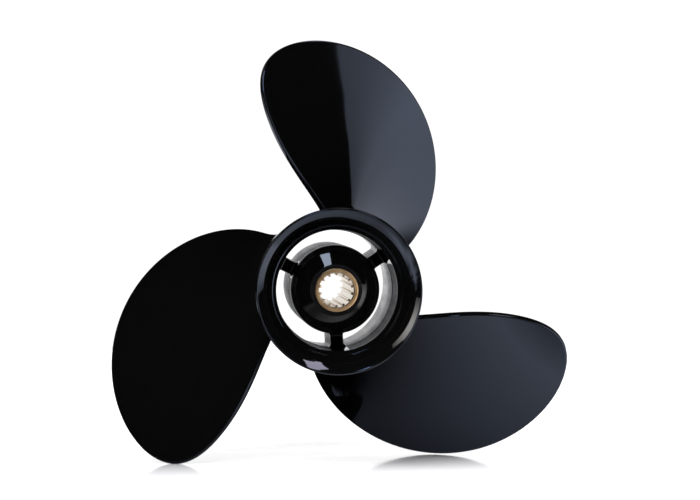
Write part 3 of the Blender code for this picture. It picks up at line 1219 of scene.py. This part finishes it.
def stage_sheet(name: str, points: Array, attribute: str, values: Array, finish: Finish) -> Piece:
    """Put an open sheet into the scene as a part of the stage.

    Args:
        name: Its name.
        points: Grid of points, whose last axis holds x, y and z.
        attribute: Name of the attribute that keeps the values.
        values: One value for each point.
        finish: Its finish.

    Returns:
        The sheet.
    """
    index = np.arange(values.size).reshape(values.shape)
    quads = np.stack([index[:-1, :-1], index[1:, :-1], index[1:, 1:], index[:-1, 1:]], axis=-1)
    mesh = new_mesh(name, points, quads.reshape(-1, 4).tolist(), attribute, values)
    mesh.materials.append(finish.material())
    item = add_object(name, mesh)
    item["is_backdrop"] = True
    return item


def light_card(name: str, points: Array, glow: Array, colour: str = "#FFFFFF") -> Piece:
    """Build a lit card that only mirrors see.

    Args:
        name: The card's name.
        points: Grid of points, whose last axis holds x, y and z.
        glow: Radiance at each point.
        colour: Colour of the glow.

    Returns:
        The card.
    """
    card = stage_sheet(name, points, GLOW, glow, CardLight("lit_" + name, colour))
    card.visible_camera = card.visible_diffuse = card.visible_shadow = False
    return card


@dataclass(frozen=True)
class Patch:
    """A part of the floor between soft straight edges.

    An edge is (across, along, start, end): over it the share grows from 0 to 1, as across * x + along * y
    grows from start to end. Lengths are metres.
    """

    amount: float
    edges: tuple[tuple[float, float, float, float], ...]

    def at(self, x: Array, y: Array) -> Array:
        """The patch's amount, times its share over every edge."""
        shares = [smooth_step(*span, across * x + along * y) for across, along, *span in self.edges]
        return self.amount * math.prod(shares)


@dataclass(frozen=True)
class FloorCard:
    """A lit card that lies on the floor and turns up at the right into a low wall. Lengths are metres.

    The wall's top falls in a straight line away from the camera. The card glows by the strongest of its
    lit patches, and each shaded patch takes its share of that. Up the wall the glow falls once more.
    """

    wall_x: float = 0.33
    wall_top: float = -0.0567
    wall_top_y: float = -0.03
    wall_fall: float = 0.34
    lowest_wall: float = 0.0001
    wall_shade: float = 0.55
    wall_shade_span: Span = (0.1, 1.0)
    ends_y: Span = (0.8, -1.2)
    left_x: float = -1.7
    near_x: float = -0.35
    under_floor: float = 0.0005
    lines: int = 60
    lit: tuple[Patch, ...] = (
        Patch(2.1, ((0.35, -1, -0.02, 0.26), (1, 0, -0.15, -0.05))),
        Patch(2.1, ((1, 0, 0.09, 0.14),)),
        Patch(2.0, ((0.27, -1, 0.052, 0.087), (-0.27, 1, -0.137, -0.107), (-1, 0, 0.0, 0.1))),
        Patch(1.6, ((0, 1, 0.03, 0.08),)),
    )
    shaded: tuple[Patch, ...] = (
        Patch(0.85, ((0, -1, 0.122, 0.15), (-1, 0, -0.15, -0.1), (1, 0, -0.13, -0.09))),
        Patch(0.34, ((1, 0.55, 0.16, 0.36),)),
        Patch(-0.2, ((0, -1, 0.15, 0.5),)),
        Patch(0.7, ((-1, 0, 0.4, 0.6),)),
        Patch(1.0, ((0, -1, 0.55, 0.8), (-1, 0, -0.33, -0.2))),
    )

    def build(self) -> Piece:
        """Build the card.

        Returns:
            The card.
        """
        share = np.linspace(0.0, 1.0, self.lines)
        y = np.linspace(*self.ends_y, self.lines)[:, None]
        top = self.wall_top - self.wall_fall * (y - self.wall_top_y)
        top = np.maximum(top, FLOOR_Z + self.lowest_wall)
        far = np.linspace(self.left_x, self.near_x, self.lines)
        near = np.linspace(self.near_x, self.wall_x, self.lines)
        run = np.concatenate([far[:-1], near])[None, :]
        flat = np.full_like(y + run, FLOOR_Z - self.under_floor)
        floor = np.stack([run + 0.0 * y, y + 0.0 * run, flat], axis=-1)
        rise = FLOOR_Z + (top - FLOOR_Z) * share[None, 1:]
        wall = np.stack([np.full_like(rise, self.wall_x), y + 0.0 * rise, rise], axis=-1)
        points = np.concatenate([floor, wall], axis=1)
        x, y, z = np.moveaxis(points, -1, 0)
        glow = np.maximum.reduce([patch.at(x, y) for patch in self.lit])
        glow *= math.prod(1 - patch.at(x, y) for patch in self.shaded)
        height = (z - FLOOR_Z) / (top - FLOOR_Z)
        glow *= 1 - self.wall_shade * smooth_step(*self.wall_shade_span, height)
        return light_card("reflector_card", points, glow)


@dataclass(frozen=True)
class LeftCard:
    """A lit card at the left, a part of a sphere about the middle of the aft lip.

    Its glow falls along a bell curve above and below its middle elevation. The radius is metres, and the
    azimuth is counted from straight aft.
    """

    radius: float = 1.2
    azimuth: Span = (-73.0, -62.0)
    elevation: Span = (2.0, 45.0)
    middle: float = 24.0
    fall: float = 16.3
    radiance: float = 8.5
    colour: str = "#FFECCD"
    columns: int = 8
    rows: int = 40

    def build(self) -> Piece:
        """Build the card.

        Returns:
            The card.
        """
        side = np.radians(np.linspace(*self.azimuth, self.columns))[:, None]
        lift = np.radians(np.linspace(*self.elevation, self.rows))[None, :]
        level = np.cos(lift)
        sphere = np.stack([np.sin(side) * level, -np.cos(side) * level, np.sin(lift) + 0.0 * side], axis=-1)
        points = self.radius * sphere + (0.0, AFT_LIP_Y, 0.0)
        glow = self.radiance * np.exp(-(((np.degrees(lift) - self.middle) / self.fall) ** 2))
        return light_card("left_card", points, glow + 0.0 * side, self.colour)


@dataclass(frozen=True)
class Floor:
    """A flat sheet of white acrylic at the blades' lowest points. Lengths are metres.

    Its polish falls in a straight line with the distance in front of the line through the two points where
    the blades touch it, and along that line it grows from the left point to the right one. It also fades
    behind that line, sooner at the right of the bend, and far to the sides.
    """

    size: float = 1.6
    polish: Span = (0.74, 0.93)
    reach: float = 0.135
    left_contact: Span = (-0.084, -0.0545)
    right_contact: Span = (0.055, -0.015)
    bend_x: float = 0.02
    bend_slope: float = 0.8
    behind_fade: Span = (0.03, 0.11)
    side_fade: Span = (0.11, 0.17)
    lines: int = 161

    def share(self, x: Array, y: Array) -> Array:
        """Share of polish on the floor.

        Args:
            x: Place to the right of the shaft.
            y: Place forward of the origin.

        Returns:
            The share at each place.
        """
        (left_x, left_y), (right_x, right_y) = self.left_contact, self.right_contact
        place = (x - left_x) / (right_x - left_x)
        ahead = left_y + (right_y - left_y) * place - y
        low, high = self.polish
        share = np.clip(low + (high - low) * place, 0.0, high) * np.clip(1 - ahead / self.reach, 0.0, 1.0)
        behind = self.bend_slope * np.maximum(x - self.bend_x, 0.0) - ahead
        share *= 1 - smooth_step(*self.behind_fade, behind)
        return share * (1 - smooth_step(*self.side_fade, np.abs(x)))

    def build(self) -> Piece:
        """Build the floor.

        Returns:
            The floor.
        """
        run = np.linspace(-self.size / 2, self.size / 2, self.lines)
        x, y = np.meshgrid(run, run, indexing="ij")
        points = np.stack([x, y, np.full_like(x, FLOOR_Z)], axis=-1)
        floor = stage_sheet("floor", points, POLISH, self.share(x, y), PolishedAcrylic())
        floor.visible_glossy = False
        return floor


@dataclass(frozen=True)
class Studio:
    """The camera of the photograph, and everything round the propeller that it or a mirror sees."""

    lens_mm: float = 129.1
    sensor_mm: float = 36.0
    camera_offset: Place = (-0.10814, -1.27338, 0.05963)
    camera_tilt: float = 0.0300
    camera_pan: float = 0.0889
    backdrop: float = 1.08
    room: float = 0.0
    paper_edge: Span = (0.78, 0.9)
    softboxes: tuple[SoftBox, ...] = (
        SoftBox("overhead_silk", (-0.6, -1.0, 1.9), (0.0, 0.0, 0.0), (3.0, 2.5), 5.6, mirrored=False),
        SoftBox("front_fill", (0.0, -1.9, 0.3), (0.0, 0.0, 0.0), (0.9, 0.5), 0.4, mirrored=False),
        SoftBox("rear_fill", (0.2, 1.3, 1.3), (0.0, 0.05, -0.09), (1.5, 1.5), 4.0, mirrored=False),
        SoftBox(
            "hub_lamp", (-0.029, -0.1804, 0.1246), (-0.006, -0.066, 0.017), (0.034, 0.05), 9.5, "#D5E6FF"
        ),
        SoftBox(
            "ring_lamp", (0.105, -0.148, 0.231), (-0.013, -0.086, -0.038), (0.07, 0.07), 8.0, "#FFEDE9"
        ),
    )

    def build_camera(self) -> Piece:
        """Build the camera. Its turn is in radians, and its place counts from the ring's aft plane.

        Returns:
            The camera.
        """
        data = bpy.data.cameras.new("photo_camera")
        data.lens = self.lens_mm
        data.sensor_width = self.sensor_mm
        camera = add_object("photo_camera", data)
        right, ahead, up = self.camera_offset
        camera.location = (right, AFT_LIP_Y + ahead, up)
        camera.rotation_euler = (math.pi / 2 - self.camera_tilt, 0.0, -self.camera_pan)
        bpy.context.scene.camera = camera
        return camera

    def build_world(self) -> bpy.types.World:
        """Build the surroundings: white paper behind the propeller, and a dark room on the camera's side.

        The brightness rises with the y of the direction, from the room's at the camera to the paper's.

        Returns:
            The world.
        """
        world = bpy.data.worlds.new("studio")
        world.use_nodes = True
        tree = world.node_tree
        tree.nodes.clear()
        white = linear("#FFFFFF")
        direction = add_node(tree, "TexCoord").outputs["Generated"]
        ahead = add_node(tree, "SeparateXYZ", {}, {"Vector": direction}).outputs["Y"]
        low, high = self.paper_edge
        fade = {"From Min": low, "From Max": high, "To Min": self.room, "To Max": self.backdrop}
        paper = add_node(tree, "MapRange", fade, {"Value": ahead})
        lit = add_node(tree, "Background", {"Color": white}, {"Strength": paper})
        seen = add_node(tree, "Background", {"Color": white, "Strength": self.backdrop})
        by_camera = add_node(tree, "LightPath").outputs["Is Camera Ray"]
        mixed = add_node(tree, "MixShader", {}, {0: by_camera, 1: lit, 2: seen})
        add_node(tree, "OutputWorld", {}, {"Surface": mixed})
        bpy.context.scene.world = world
        return world

    def build(self) -> None:
        """Build the camera, the floor, the surroundings and the lights."""
        bpy.context.scene.view_settings.view_transform = "Standard"
        self.build_camera()
        Floor().build()
        FloorCard().build()
        LeftCard().build()
        self.build_world()
        for softbox in self.softboxes:
            softbox.build()


def write_sizes() -> None:
    """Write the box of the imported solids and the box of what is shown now."""
    visual = [list(corner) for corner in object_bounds()]
    spans = [[round((high - low) / MM, 2) for low, high in zip(*box)] for box in (CAD_BOX, visual)]
    log.info("CAD box %s mm, visual box %s mm", *spans)


def main() -> None:
    """Build the studio and every piece of the propeller."""
    logging.basicConfig(level=logging.INFO, format="%(name)s: %(message)s")
    Studio().build()
    enamel = MarineEnamel().material()
    casting = PaintedCasting().material()
    FlaredRing().build(enamel)
    Barrel().build(casting)
    InnerHub().build(casting)
    for number in range(len(RIB_ANGLES)):
        Rib(number).build(casting)
    for number in range(len(BLADE_TURNS)):
        Blade(number).build(enamel)
    RubberBush().build(MouldedRubber().material())
    SplinedSleeve().build(TurnedBrass().material())
    write_sizes()


if __name__ == "__main__":
    main()
